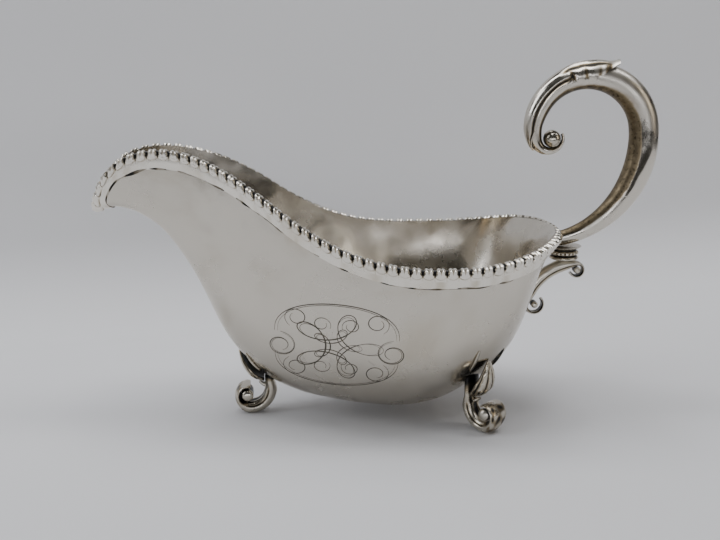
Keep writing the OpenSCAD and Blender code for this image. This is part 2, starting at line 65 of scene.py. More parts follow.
WELD = 2e-4  # places closer than this, in millimetres, are one vertex

# ---- Sizes of the part, in millimetres ----
BOWL_LENGTH, BOWL_WIDTH, WALL = 161.0, 84.0, 1.0
TIP, CREST, WAIST, BACK, CLEARANCE = 76.0, 96.0, 61.0, 66.0, 3.5
LOBE_PITCH, LOBE_REACH, LOBE_DEPTH, LOBE_RISE = 3.9, 2.0, 2.8, 1.0
BAND_DEPTH, BAND_THICK, SOLDER = 6.0, 0.6, 0.1
HANDLE_THICK, HANDLE_ACROSS, HANDLE_WALL, ROOT_THICK = 10.6, 9.4, 1.1, 5.0
HANDLE_BALL_R, HEAD_R, SWEEP_R, LEAF_THICK = 3.2, 19.8, 36.4, 1.2
COLLAR_R, COLLAR_HEIGHT = 6.2, 4.6
BRACKET_THICK, BRACKET_ACROSS, BRACKET_BALL_R = 4.6, 5.0, 1.3
FRONT_FOOT_R, BACK_FOOT_R = 0.3062 * BOWL_LENGTH, 0.2441 * (BOWL_LENGTH + BOWL_WIDTH) / 2
BACK_FOOT_ANGLE, STANCE_AFT = 46.0, 2.5
LEG_THICK, LEG_ACROSS, TOE_BALL_R, KNEE_LEAF = 4.8, 7.0, 2.2, 13.5

# The bowl's table of offsets: half width as a share, rim height, keel height, fullness
lip = lambda t: TIP + (CREST - TIP) * t
fall = lambda t: WAIST + (CREST - WAIST) * t
climb = lambda t: WAIST + (BACK - WAIST) * t
bow = lambda t: CLEARANCE + (TIP - CLEARANCE) * t
stern = lambda t: CLEARANCE + (BACK - CLEARANCE) * t
OFFSETS = np.array([
    [0, lip(0), bow(1), 1.5],
    [0.062, lip(0.17), bow(1), 1.7],
    [0.108, lip(0.53), bow(1), 1.8],
    [0.142, lip(0.81), bow(0.997), 1.8],
    [0.165, lip(0.955), bow(0.964), 1.8],
    [0.19, lip(1), bow(0.873), 1.8],
    [0.255, fall(0.954), bow(0.672), 1.75],
    [0.39, fall(0.834), bow(0.36), 1.65],
    [0.56, fall(0.637), bow(0.172), 1.55],
    [0.70, fall(0.389), bow(0.077), 1.5],
    [0.825, fall(0.189), bow(0.033), 1.55],
    [0.914, fall(0.063), bow(0.007), 1.62],
    [0.981, fall(0.009), bow(0), 1.7],
    [1, fall(0), stern(0.034), 1.75],
    [0.976, climb(0.04), stern(0.12), 1.75],
    [0.905, climb(0.24), stern(0.225), 1.68],
    [0.793, climb(0.54), stern(0.40), 1.55],
    [0.633, climb(0.82), stern(0.72), 1.4],
    [0.438, climb(0.96), stern(0.91), 1.25],
    [0.224, climb(1), stern(0.982), 1.1],
    [0, climb(1), stern(1), 1.02],
])
LAST_ROW = len(OFFSETS) - 1
HALF, RIM, KEEL, FULL = range(4)
# Two mirrored rows beyond each end; a half width changes sign there
MIRROR = np.array([-1, 1, 1, 1])
PADDED = np.concatenate([OFFSETS[2:0:-1] * MIRROR, OFFSETS, OFFSETS[-2:-4:-1] * MIRROR])


# ---- Small helpers ----
def sind(a):
    return np.sin(np.radians(a))


def cosd(a):
    return np.cos(np.radians(a))


def mix(a, b, t):
    return a + (b - a) * t


def ease(a, b, x):
    """Smooth step: 0 at a, 1 at b, level at both ends."""
    t = np.clip((np.asarray(x, float) - a) / (b - a), 0, 1)
    return t * t * (3 - 2 * t)


def hump(x, middle, width):
    """Bell of height 1: e to the minus square of the distance from the middle over the width."""
    return np.exp(-((x - middle) / width) ** 2)


def ripple(x, y, seed, size):
    """Soft unevenness of about -1 to 1: a sum of six sine waves with seeded directions."""
    rng = np.random.default_rng(seed)
    total = np.zeros(np.broadcast(x, y).shape)
    for k in range(6):
        angle, phase = rng.uniform(0, math.tau, 2)
        pace = math.tau / size * rng.uniform(0.6, 1.7)
        total = total + np.sin(pace * (x * math.cos(angle) + y * math.sin(angle)) + phase)
    return total / 3


# ---- The bowl's surface ----
def offset_at(column, u):
    """Catmull-Rom curve through the rows of one column, at share u of the rows."""
    t = np.clip(np.asarray(u, float), 0, 1) * LAST_ROW
    i = np.minimum(t.astype(int), LAST_ROW - 1)
    f = t - i
    p0, p1, p2, p3 = (PADDED[i + k, column] for k in (1, 2, 3, 4))
    return 0.5 * (2 * p1 + (p2 - p0) * f + (2 * p0 - 5 * p1 + 4 * p2 - p3) * f ** 2
                  + (3 * p1 - p0 - 3 * p2 + p3) * f ** 3)


def rib_round(u):
    return mix(2.5, 1.9, ease(0.65, 0.95, u))


def rib_x(u):
    return BOWL_LENGTH * (1 - cosd(180 * np.asarray(u, float))) / 2


def rib_u(x):
    return np.degrees(np.arccos(np.clip(1 - 2 * np.asarray(x, float) / BOWL_LENGTH, -1, 1))) / 180


def half_width(u):
    return np.maximum(0, offset_at(HALF, u)) * BOWL_WIDTH / 2


def rib_rise(u, s):
    """1 - (1 - |s|^m)^(1/n): share of the rib's depth at share s of the half width."""
    inside = np.maximum(0, 1 - np.minimum(1, np.abs(s)) ** rib_round(u))
    return 1 - inside ** (1 / offset_at(FULL, u))


def bowl_point(u, w):
    """Outer wall: u from lip 0 to back 1, w from left rim -1 over the keel to right rim 1."""
    s = sind(90 * np.asarray(w, float))
    keel = offset_at(KEEL, u)
    z = keel + (offset_at(RIM, u) - keel) * rib_rise(u, s)
    return np.stack(np.broadcast_arrays(rib_x(u), half_width(u) * s, z), -1)


def bowl_normal(u, w, e=0.004):
    """Outward normal: cross product of the slopes along w and u."""
    a, b = np.clip(u, 3 * e, 1 - 3 * e), np.clip(w, e - 1, 1 - e)
    n = np.cross(bowl_point(a, b + e) - bowl_point(a, b - e),
                 bowl_point(a + e, b) - bowl_point(a - e, b))
    return n / np.linalg.norm(n, axis=-1, keepdims=True)


def bowl_floor(x, y):
    """Height of the outer wall over a place in plan."""
    u = rib_u(x)
    keel = offset_at(KEEL, u)
    return keel + (offset_at(RIM, u) - keel) * rib_rise(u, y / np.maximum(0.01, half_width(u)))


def back_wall_x(y, z):
    """Where the back wall's outside is at a height, by halving."""
    low, high = np.broadcast_arrays(
        BOWL_LENGTH * 0.6 + 0 * np.asarray(y, float) + 0 * z, BOWL_LENGTH)
    for _ in range(18):
        mid = (low + high) / 2
        inside = (bowl_floor(mid, y) > z) | (half_width(rib_u(mid)) < np.abs(y))
        low, high = np.where(inside, low, mid), np.where(inside, mid, high)
    return (low + high) / 2


# ---- Paths made of arcs in the upright plane ----
def arc_centre(x, z, heading, radius):
    return np.array([x - radius * sind(heading), z + radius * cosd(heading)])


def arc_path(place, heading, arcs, step):
    """Left-hand arcs of [radius, turn]; rows are x, z, heading and length so far."""
    rows, run = [], 0.0
    for radius, turn in arcs:
        centre = arc_centre(*place, heading, radius)
        length = radius * math.radians(turn)
        n = max(2, round(length / step), math.ceil(turn / 5))
        h = heading + turn * np.arange(n + 1) / n
        arc = np.stack([centre[0] + radius * sind(h), centre[1] - radius * cosd(h), h,
                        run + length * np.arange(n + 1) / n], -1)
        rows.append(arc[:-1])
        place, heading, run = arc[-1, :2], heading + turn, run + length
    return np.concatenate(rows + [arc[-1:]])


def along(path):
    return path[:, 3] / path[-1, 3]


def beside(path, out, across):
    """Places to the right of each step's heading by out, and across the plane."""
    x, z, h = (path[:, k, None] for k in range(3))
    return np.stack(np.broadcast_arrays(x + out * sind(h), across, z - out * cosd(h)), -1)


# ---- Meshes ----
def strip_faces(rings, around):
    """Quads between neighbouring closed rings; each end is closed by quads across the ring."""
    i, j = np.meshgrid(np.arange(rings - 1), np.arange(around), indexing="ij")
    a, b = i * around + j, i * around + (j + 1) % around
    side = np.stack([a, b, b + around, a + around], -1).reshape(-1, 4)
    k = np.arange(around // 2 - 1)
    cap = np.stack([k, k + 1, around - 2 - k, around - 1 - k], -1)
    return np.concatenate([side, cap[:, ::-1], cap + (rings - 1) * around])


def loft(rings, marks=0.0):
    """One closed body from rings of places (rings, around, 3), with its marks on each place."""
    rings = np.asarray(rings, float)
    marks = np.broadcast_to(marks, rings.shape[:2])
    return rings.reshape(-1, 3), strip_faces(*rings.shape[:2]), marks.reshape(-1)


def lathe(profile, sides, centre, axis="z", swell=None):
    """A profile of [radius, height] turned about an axis; swell changes a radius by place."""
    profile = np.asarray(profile, float)
    q = 360 * np.arange(sides) / sides
    r = np.repeat(profile[:, :1], sides, 1)
    h = np.repeat(profile[:, 1:2], sides, 1)
    if swell is not None:
        r = r * swell(q[None, :], h)
    ring = np.stack([r * cosd(q), r * sind(q), h], -1)
    if axis == "y":
        ring = ring[..., [0, 2, 1]]
    return ring + np.asarray(centre, float)


def welded(places, faces, marks):
    """Places that coincide become one vertex, quads become triangles, and empty ones go."""
    _, first, back = np.unique(np.round(places / WELD).astype(np.int64), axis=0,
                               return_index=True, return_inverse=True)
    q = back.reshape(-1)[faces]
    tris = np.concatenate([q[:, [0, 1, 2]], q[:, [0, 2, 3]]])
    real = (tris[:, 0] != tris[:, 1]) & (tris[:, 1] != tris[:, 2]) & (tris[:, 0] != tris[:, 2])
    return places[first], tris[real], marks[first]


X_MID = -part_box("bowl")[0].x / MM


def make_piece(name, bodies, material, stands_for=(), crease=42.0):
    """One object from closed bodies of (places, faces, marks), turned outwards and joined."""
    all_places, all_tris, all_marks, count = [], [], [], 0
    for body in bodies:
        places, tris, marks = welded(*body)
        a, b, c = (places[tris[:, k]] - places.mean(0) for k in range(3))
        if np.einsum("ij,ij->", a, np.cross(b, c)) < 0:
            tris = tris[:, ::-1]
        all_places.append(places)
        all_tris.append(tris + count)
        all_marks.append(marks)
        count += len(places)
    # Nothing stands outside the part's own box
    places = (np.concatenate(all_places) - [X_MID, 0, 0]) * MM
    places = np.clip(places, *np.array(CAD_BOUNDS))
    tris = np.concatenate(all_tris)
    mesh = bpy.data.meshes.new(name)
    mesh.vertices.add(len(places))
    mesh.vertices.foreach_set("co", places.astype(np.float32).ravel())
    mesh.loops.add(tris.size)
    mesh.loops.foreach_set("vertex_index", tris.astype(np.int32).ravel())
    mesh.polygons.add(len(tris))
    mesh.polygons.foreach_set("loop_start", np.arange(0, tris.size, 3, dtype=np.int32))
    mesh.update(calc_edges=True)
    mesh.validate()
    mesh.shade_smooth()
    mesh.set_sharp_from_angle(angle=math.radians(crease))
    layer = mesh.attributes.new("tarnish", "FLOAT", "POINT")
    layer.data.foreach_set("value", np.concatenate(all_marks).astype(np.float32))
    mesh.materials.append(material)
    piece = bpy.data.objects.new(name, mesh)
    bpy.context.scene.collection.objects.link(piece)
    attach(piece, "root")
    if stands_for:
        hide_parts(*stands_for)
    return piece


# ---- Materials ----
def hex_rgb(code):
    """sRGB hex to linear: ((c + 0.055) / 1.055)^2.4, or c / 12.92 near black."""
    c = np.array([int(code[k:k + 2], 16) / 255 for k in (1, 3, 5)])
    linear = np.where(c <= 0.04045, c / 12.92, ((c + 0.055) / 1.055) ** 2.4)
    return (*linear, 1.0)


def add(tree, kind, wires=None, **settings):
    """One node: settings are its properties, wires its inputs as values or other sockets."""
    node = tree.nodes.new(kind)
    for key, value in settings.items():
        setattr(node, key, value)
    for key, value in (wires or {}).items():
        if isinstance(value, bpy.types.NodeSocket):
            tree.links.new(value, node.inputs[key])
        else:
            node.inputs[key].default_value = value
    return node


def silver(name, clean, warm, dark, smooth, rough, dent=0.0, dent_size=22.0, scratch=0.3,
           warm_share=0.5, grit=0.0, stain_and_dark_reflection=0.0):
    """Sterling silver, metallic, as one finish.

    clean, warm and dark are the bare metal, thin yellow-grey tarnish and black sulphide in
    the hollows. smooth and rough are the ends of the roughness. dent is the depth of the
    planishing marks in millimetres, dent_size their width, scratch the strength of the
    wiping scratches, warm_share how far the tarnish spreads, grit the grain of thick
    tarnish, stain_and_dark_reflection the strength of dark noise patches, which stand both for
    tarnish stains and for painted dark reflections.
    """
    material = bpy.data.materials.new(name)
    material.use_nodes = True
    tree = material.node_tree
    shader = tree.nodes["Principled BSDF"]
    place = add(tree, "ShaderNodeTexCoord").outputs["Object"]
    mark = add(tree, "ShaderNodeAttribute", attribute_name="tarnish",
               attribute_type="GEOMETRY").outputs["Fac"]

    def noise(size_mm, detail=3.0, stretch=None, distortion=0.0):
        """Noise whose cells are size_mm wide."""
        vector = place
        if stretch:
            vector = add(tree, "ShaderNodeMapping", {"Vector": place, "Rotation": stretch[0],
                                                     "Scale": stretch[1]}).outputs["Vector"]
        return add(tree, "ShaderNodeTexNoise", {
            "Vector": vector, "Scale": 1000 / size_mm, "Detail": detail, "Roughness": 0.55,
            "Distortion": distortion}).outputs["Fac"]

    def band(value, low, high, to_low=0.0, to_high=1.0):
        return add(tree, "ShaderNodeMapRange", {
            "Value": value, "From Min": low, "From Max": high, "To Min": to_low,
            "To Max": to_high}, interpolation_type="SMOOTHSTEP").outputs["Result"]

    def calc(operation, a, b):
        return add(tree, "ShaderNodeMath", {0: a, 1: b}, operation=operation,
                   use_clamp=True).outputs["Value"]

    clouds = noise(38.0, 4.0, distortion=0.6)
    specks = noise(0.9, 5.0)
    film = band(clouds, 0.62 - 0.3 * warm_share, 0.92 - 0.3 * warm_share, 0.0, 0.85)
    marked = calc("MULTIPLY", mark, band(noise(2.2, 5.0), 0.1, 0.62, 0.75, 1.3))
    warmth = calc("MAXIMUM", film, band(marked, 0.05, 0.5))
    colour = add_mix(tree, warmth, hex_rgb(clean), hex_rgb(warm))
    black = band(marked, 0.45, 0.95)
    # Dark noise patches: partly tarnish stains, partly painted dark reflections on the metal
    if stain_and_dark_reflection:
        stains_and_dark_reflections = calc("MULTIPLY", band(noise(7.0, 4.0, distortion=1.2), 0.66, 0.8), stain_and_dark_reflection)
        black = calc("MAXIMUM", black, stains_and_dark_reflections)
    colour = add_mix(tree, black, colour, hex_rgb(dark))
    if grit:
        grain = calc("MULTIPLY", band(specks, 0.5, 0.72), band(mark, 0.1, 0.6, 0.0, grit))
        colour = add_mix(tree, grain, colour, hex_rgb(dark))
    tree.links.new(colour, shader.inputs["Base Color"])
    tree.links.new(band(black, 0.3, 1.0, 1.0, 0.55), shader.inputs["Metallic"])

    # Wiping leaves fine scratches in two directions; hollows stay dull
    wipes = calc("MAXIMUM",
                 band(noise(1.1, 2.0, ((0.2, 0.5, 0.4), (0.04, 1.0, 1.0))), 0.60, 0.75),
                 band(noise(1.3, 2.0, ((0.9, -0.4, 1.2), (0.05, 1.0, 1.0))), 0.62, 0.78))
    dull = calc("MAXIMUM", band(noise(14.0, 5.0), 0.3, 0.75), band(marked, 0.1, 0.7))
    dull = calc("MAXIMUM", dull, calc("MULTIPLY", wipes, 0.6))
    tree.links.new(band(dull, 0.0, 1.0, smooth, rough), shader.inputs["Roughness"])

    bump = add(tree, "ShaderNodeBump", {"Height": wipes, "Strength": scratch,
                                        "Distance": 0.01 * MM})
    if grit:
        bump = add(tree, "ShaderNodeBump", {"Height": grain, "Strength": 0.5,
                                            "Distance": 0.05 * MM,
                                            "Normal": bump.outputs["Normal"]})
    if dent:
        bump = add(tree, "ShaderNodeBump", {
            "Height": noise(dent_size, 1.5), "Strength": 1.0, "Distance": dent * MM,
            "Normal": bump.outputs["Normal"]})
    tree.links.new(bump.outputs["Normal"], shader.inputs["Normal"])
    return material


def add_mix(tree, factor, a, b):
    """Colour between a and b by a factor."""
    node = tree.nodes.new("ShaderNodeMix")
    node.data_type = "RGBA"
    for socket, value in ((node.inputs[0], factor), (node.inputs[6], a), (node.inputs[7], b)):
        if isinstance(value, bpy.types.NodeSocket):
            tree.links.new(value, socket)
        else:
            socket.default_value = value
    return node.outputs[2]


# Sheet raised with a hammer, planished and hand polished: soft dents, satin from wiping; its dark
# noise patches are painted dark reflections
raised = silver("raised_sterling_sheet", "#CFC9BE", "#B7AE9C", "#2B2823", 0.14, 0.30,
                dent=1.6, dent_size=26.0, scratch=0.35, warm_share=0.45, stain_and_dark_reflection=0.25)
# Rolled strip pressed into lobes: bright on the crowns, sulphide in the notches
rolled = silver("rolled_sterling_strip", "#EAE5DB", "#C4BAA6", "#0B0A09", 0.14, 0.34,
                scratch=0.25, warm_share=0.3)
# Two struck halves, buffed bright outside, thick brown tarnish inside the curve
struck = silver("struck_sterling_tube", "#D2CCC1", "#85775F", "#1D1912", 0.10, 0.40,
                dent=0.25, dent_size=16.0, scratch=0.2, warm_share=0.05, grit=0.8)
# Sand castings, filed and burnished: rounder, greyer, dark in every hollow
cast = silver("cast_sterling", "#CBC5B8", "#988C76", "#0D0C0A", 0.15, 0.38,
              dent=0.3, dent_size=6.0, scratch=0.2, warm_share=0.35, stain_and_dark_reflection=0.5)
# Silver solder run along the strip: greyer and pitted
soldered = silver("silver_solder", "#B9B2A5", "#6B6355", "#15130F", 0.30, 0.50,
                  dent=0.3, dent_size=1.5, scratch=0.1, warm_share=0.7)
# Lines cut with a graver: old grey tarnish in a bright cut
graved = silver("graver_cut_silver", "#A39C90", "#77705F", "#4A463D", 0.30, 0.50,
                scratch=0.1, warm_share=0.6)


# ---- Bowl ----
def sheet_at(u):
    """The sheet thins where a rib is narrower than it, towards the lip; at the back it keeps its
    full thickness.
    """
    return WALL * np.clip(half_width(u) / (1.7 * WALL), np.where(u < 0.5, 0.5, 1), 1)


RIBS, RIB_STEPS = 330, 96


def rim_table():
    """Length along the rim at even steps of u."""
    u = np.linspace(0, 1, 1601)
    step = np.linalg.norm(np.diff(bowl_point(u, -1.0), axis=0), axis=1)
    return u, np.concatenate([[0], np.cumsum(step)])


RIM_U, RIM_RUN = rim_table()
RIM_LENGTH = RIM_RUN[-1]


def rim_u(t):
    """u at a share of the rim's length."""
    return np.interp(np.asarray(t, float) * RIM_LENGTH, RIM_RUN, RIM_U)


def bowl_body():
    """Outer wall and inner wall a sheet's thickness inside it, as rings round each rib.

    The inner wall is the outer one less the sheet along its normal; soft planishing
    unevenness of a few hundredths is taken off both.
    """
    u = rim_u(np.linspace(0, 1, RIBS + 1))[:, None]
    w = np.linspace(-1, 1, RIB_STEPS + 1)[None, :]
    outer = bowl_point(u, w)
    normal = bowl_normal(u + 0 * w, w + 0 * u)
    calm = ease(0, 0.12, 1 - np.abs(w)) * ease(0, 0.06, u) * ease(0, 0.06, 1 - u)
    run = w * half_width(u) * 1.4
    soft = 0.035 * ripple(outer[..., 0], run, 3, 30.0) * calm
    inner = outer - (sheet_at(u) + 0 * w)[..., None] * normal
    inner = inner + (soft * 1.5)[..., None] * normal
    outer = outer - (np.abs(soft) * 0.8)[..., None] * normal
    rings = np.concatenate([outer, inner[:, ::-1]], 1)
    return loft(rings, 0.0)


make_piece("bowl_raised", [bowl_body()], raised, ["bowl"])

# ---- Border ----
LOBES = round(RIM_LENGTH / LOBE_PITCH)
RINGS_PER_LOBE = 14


def rim_out(u, side):
    """Level direction out of the rim; it fans round the lip from a place further in."""
    e = np.clip(np.minimum(u / 2, (1 - u) / 2), 1e-6, 0.01)
    d = bowl_point(u + e, side) - bowl_point(u - e, side)
    p = bowl_point(u, side)
    square = p[:, 0] + p[:, 1] * d[:, 1] / d[:, 0]
    fan = np.stack([p[:, 0] - np.maximum(square, BAND_DEPTH * 1.35), p[:, 1]], -1)
    plain = np.stack([side * -d[:, 1], side * d[:, 0]], -1)
    out = np.where((side * d[:, 1] > 0)[:, None], fan, plain)
    out[u <= 0], out[u >= 1] = [-1, 0], [1, 0]
    return out / np.linalg.norm(out, axis=1, keepdims=True)


def wall_in(p, out, distance):
    """How far in, and down, the wall is at a distance along its face, by halving."""
    low, high = np.zeros(len(p)), np.full(len(p), float(distance))
    for _ in range(16):
        mid = (low + high) / 2
        drop = p[:, 2] - bowl_floor(p[:, 0] - out[:, 0] * mid, p[:, 1] - out[:, 1] * mid)
        far = np.hypot(mid, drop) > distance
        low, high = np.where(far, low, mid), np.where(far, mid, high)
    return np.stack([mid, drop], -1)


FACE_STEPS = 8


def lay_on_wall(u, side, down, off):
    """Places down the wall and off it, carried to the rim at u: (rings, around, 3)."""
    p, out = bowl_point(u, side), rim_out(u, side)
    stations = np.stack([np.zeros((len(u), 2))] + [
        wall_in(p, out, BAND_DEPTH * 1.3 * j / FACE_STEPS) for j in range(1, FACE_STEPS + 1)], 1)
    ahead = np.minimum(np.arange(FACE_STEPS + 1) + 1, FACE_STEPS)
    behind = np.maximum(np.arange(FACE_STEPS + 1) - 1, 0)
    dirs = stations[:, ahead] - stations[:, behind]
    dirs = dirs / np.linalg.norm(dirs, axis=2, keepdims=True)
    t = np.maximum(0, down) / (BAND_DEPTH * 1.3) * FACE_STEPS
    j = np.minimum(t.astype(int), FACE_STEPS - 1)
    f = (t - j)[..., None]
    row = np.arange(len(u))[:, None]
    d = mix(dirs[row, j], dirs[row, j + 1], f)
    d = d / np.linalg.norm(d, axis=2, keepdims=True)
    at = mix(stations[row, j], stations[row, j + 1], f) + np.minimum(0, down)[..., None] * d
    inward = at[..., 0] - off * d[..., 1]
    drop = at[..., 1] + off * d[..., 0]
    return np.stack([p[:, 0, None] - out[:, 0, None] * inward,
                     p[:, 1, None] - out[:, 1, None] * inward, p[:, 2, None] - drop], -1)


def border_body(side):
    """The strip's section carried round the rim, with a tongue for each lobe.

    A tongue's height is (1 - r^4)^(1/2.2), where r is the distance from its middle over its
    half width, and below its middle over the rest of its length. Notches between are marked.
    """
    count = LOBES * RINGS_PER_LOBE
    k = np.arange(count + 1)
    u = rim_u(k / count)
    across = 2 * ((k / RINGS_PER_LOBE) % 1) - 1
    side_way = np.abs(across)[:, None]
    x = side_way / 0.96
    # Along its top each lobe ends in two small beads, with a wide notch to the next lobe
    bead_at = 0.36
    bead = np.clip(1 - ((side_way - bead_at) / bead_at) ** 2, 0, 1) ** 0.5
    crown = np.maximum(bead, 0.62 * (side_way < bead_at))
    rise = LOBE_RISE * mix(0.1, 0.97, crown)
    face = np.linspace(0, 1, 24)[None, :]
    base = SOLDER + BAND_THICK
    straight = LOBE_DEPTH * 0.5
    down_face = face * LOBE_DEPTH * 1.08
    y = np.maximum(0, (down_face - straight) / (LOBE_DEPTH - straight))
    r = np.hypot(x, y)
    tongue = np.clip(1 - r ** 4, 0, 1) ** (1 / 2.2)
    beaded = ease(0.5, 0.2, face)
    tongue = tongue * mix(1, mix(0.1, 1, crown), beaded) * mix(0.72, 1, beaded)
    reach = base + (LOBE_REACH - BAND_THICK) * 0.985 * tongue
    down_face = -rise * 0.35 * (1 - ease(0, 0.25, face)) + down_face
    # Over the top, from the inner edge to the face
    over = np.linspace(0, 1, 9)[None, :-1]
    top_down = -rise * (np.clip(sind(180 * over ** 0.8), 0, 1) ** 0.45 * 0.85 + 0.12)
    top_down = top_down * np.where(over > 0, 1, 0.2)
    top_off = mix(-WALL, reach[:, :1], over)
    plain = np.linspace(0, 1, 6)[None, 1:]
    plain_down = mix(down_face[:, -1:], BAND_DEPTH, plain)
    plain_off = base - BAND_THICK * 0.8 * ease(0.2, 1, plain) + 0 * x
    outside_down = np.concatenate([top_down, down_face, plain_down], 1)
    outside_off = np.concatenate([top_off, reach, plain_off], 1)
    steps = outside_down.shape[1]
    # The strip's back lies on the wall and ends under its inner edge
    back = np.linspace(1, 0, steps)[None, :] + 0 * x
    edge = 0.06
    back_down = np.where(back > edge, BAND_DEPTH * (back - edge) / (1 - edge), -SOLDER)
    back_off = np.where(back > edge, SOLDER, -WALL * 0.9)
    down = np.concatenate([outside_down, back_down], 1)
    off = np.concatenate([outside_off, back_off], 1)
    # Sulphide fills the notch between lobes, a wedge that is widest at the top
    wedge = ease(-0.06, 0.10, side_way - mix(0.66, 1.0, np.clip(face / 0.8, 0, 1)))
    gap = hump(side_way, 0, 0.1) * ease(0.3, 0.05, face) * 0.7
    worn = 0.5 + 0.5 * ripple(RIM_LENGTH * k[:, None] / count, 0 * face, 13, 14.0)
    foot_line = hump(r, 1.03, 0.10) * ease(0.3, 0.9, y) * 0.8 * np.clip(worn, 0, 1)
    marks_face = np.maximum(np.maximum(wedge, gap), foot_line)
    marks_top = np.repeat(np.maximum(wedge, gap)[:, :1], over.shape[1], 1)
    marks_plain = 0.10 + 0.14 * ripple(RIM_LENGTH * k[:, None] / count, 0 * plain, 11, 9.0)
    marks_plain = np.clip(marks_plain, 0, 1)
    marks_back = np.full(back.shape, 0.5)
    marks = np.concatenate([marks_top, marks_face, marks_plain, marks_back], 1)
    return loft(lay_on_wall(u, side, down, off), marks)


def solder_body(side):
    """A ragged bead of solder along the strip's lower edge: a half round of uneven size."""
    count = 900
    share = np.linspace(0.004, 0.996, count)
    u = rim_u(share)
    run = share * RIM_LENGTH
    size = 0.15 + 0.16 * ripple(run, 0 * run, 21 + int(side), 9.0) + 0.12 * ease(90, 20, run)
    size = np.clip(size, 0.02, 0.42) * ease(0, 0.01, share - 0.004) * ease(0, 0.01, 0.996 - share)
    sway = 0.25 * ripple(run, 0 * run, 31 + int(side), 13.0)
    q = np.linspace(0, 360, 12, endpoint=False)[None, :]
    down = BAND_DEPTH - 0.1 + sway[:, None] + (size[:, None] + 0.04) * 1.5 * cosd(q)
    off = np.maximum(0.02, 0.05 + (size[:, None] * 0.9 + 0.02) * sind(q))
    marks = 0.45 + 0.45 * ripple(run, 0 * run, 41, 5.0)
    return loft(lay_on_wall(u, side, down, off), np.clip(marks, 0, 1)[:, None])


for side, word in ((-1.0, "left"), (1.0, "right")):
    make_piece(f"border_lobes_{word}", [border_body(side)], rolled,
               [f"rim_border_{word}"])
    make_piece(f"border_solder_{word}", [solder_body(side)], soldered)


# ---- Handle ----
WALL_LEAN = 1.12  # a level cut through the leaning strip is this much thicker


def border_face(drop):
    """How far the strip's face is off the wall, measured level, at a drop below the rim."""
    return WALL_LEAN * np.interp(drop, [LOBE_DEPTH * 0.8, LOBE_DEPTH * 1.1],
                                 [LOBE_REACH + SOLDER, BAND_THICK + SOLDER]) + 2 * SOLDER


ROOT_Z = BACK - LOBE_DEPTH * 0.3 - ROOT_THICK / 2
ROOT_X = float(back_wall_x(0.0, ROOT_Z) + border_face(BACK - ROOT_Z))
HANDLE_ARCS = [
    [ROOT_THICK * 1.77, 33], [SWEEP_R, 83], [HEAD_R, 163], [HEAD_R * 0.6, 26],
    [HANDLE_BALL_R + 2.9, 40], [HANDLE_BALL_R + 2.2, 44], [HANDLE_BALL_R + 1.5, 52],
    [HANDLE_BALL_R + 0.8, 54],
]
handle_path = arc_path([ROOT_X, ROOT_Z], -19, HANDLE_ARCS, 0.9)
BALL_CENTRE = arc_centre(*handle_path[-1, :3], HANDLE_BALL_R + 0.8)


def handle_share(t):
    """Share of the full thickness: it swells up the sweep and thins round head and curl."""
    return (mix(ROOT_THICK / HANDLE_THICK, 1, ease(-0.03, 0.36, t))
            * mix(1, 0.66, ease(0.5, 0.8, t)) * mix(1, 0.12, ease(0.78, 1.02, t)))


def handle_half(side):
    """Half of a hollow oval tube, from the outside of the curve round to its inside."""
    t = along(handle_path)[:, None]
    share = handle_share(t)
    thick, across = share * HANDLE_THICK / 2, share * HANDLE_ACROSS / 2
    core_thick = np.maximum(thick * 0.5, thick - HANDLE_WALL)
    core_across = np.maximum(across * 0.5, across - HANDLE_WALL)
    q = np.linspace(0, 180, 37)[None, :]
    # In the curl the inner side fills up to the ball, but for a hair
    gap = np.hypot(*(handle_path[:, :2] - BALL_CENTRE).T)[:, None] - HANDLE_BALL_R - 0.2
    fill = np.maximum(thick, np.minimum(gap, 3.4 * thick))
    inner_thick = mix(thick, fill, ease(0.84, 0.92, t))
    outer = beside(handle_path, np.where(q > 90, inner_thick, thick) * cosd(q),
                   side * across * sind(q))
    inner = beside(handle_path, core_thick * cosd(q[:, ::-1]),
                   side * core_across * sind(q[:, ::-1]))
    rings = np.concatenate([outer, inner], 1)
    start = rings[0]
    rings[0, :, 0] = back_wall_x(start[:, 1], start[:, 2]) + border_face(BACK - start[:, 2]) - 0.5
    # Brown tarnish faces into the loop: widest up the sweep, and all round in the curl
    run = handle_path[:, 3, None]
    edge = 104 + 16 * ease(0.45, 0.62, t) - 10 * ease(0.1, 0.3, t) + 5 * ripple(run, q, 5, 30.0)
    brown = ease(edge, edge + 26, q) * mix(0.52, 0.62, ease(0.5, 0.7, t))
    curl = ease(0.9, 0.97, t) * ease(60, 150, q) * 0.9
    foot = ease(0.035, 0.0, t) * 0.8
    marks = np.maximum(np.maximum(brown, curl), foot)
    return loft(rings, np.concatenate([marks, np.full(marks.shape, 0.6)], 1))


for side, word in ((-1.0, "left"), (1.0, "right")):
    make_piece(f"handle_tube_{word}", [handle_half(side)], struck,
               [f"handle_half_{word}"])

LEAF_FROM, LEAF_TO = 0.58, 0.9  # shares of the handle's length
LEAF_GAP = 3 * SOLDER
SPUR_SPREAD, LEAF_SPREAD, SPUR_LIFT = 38, 104, 2.4


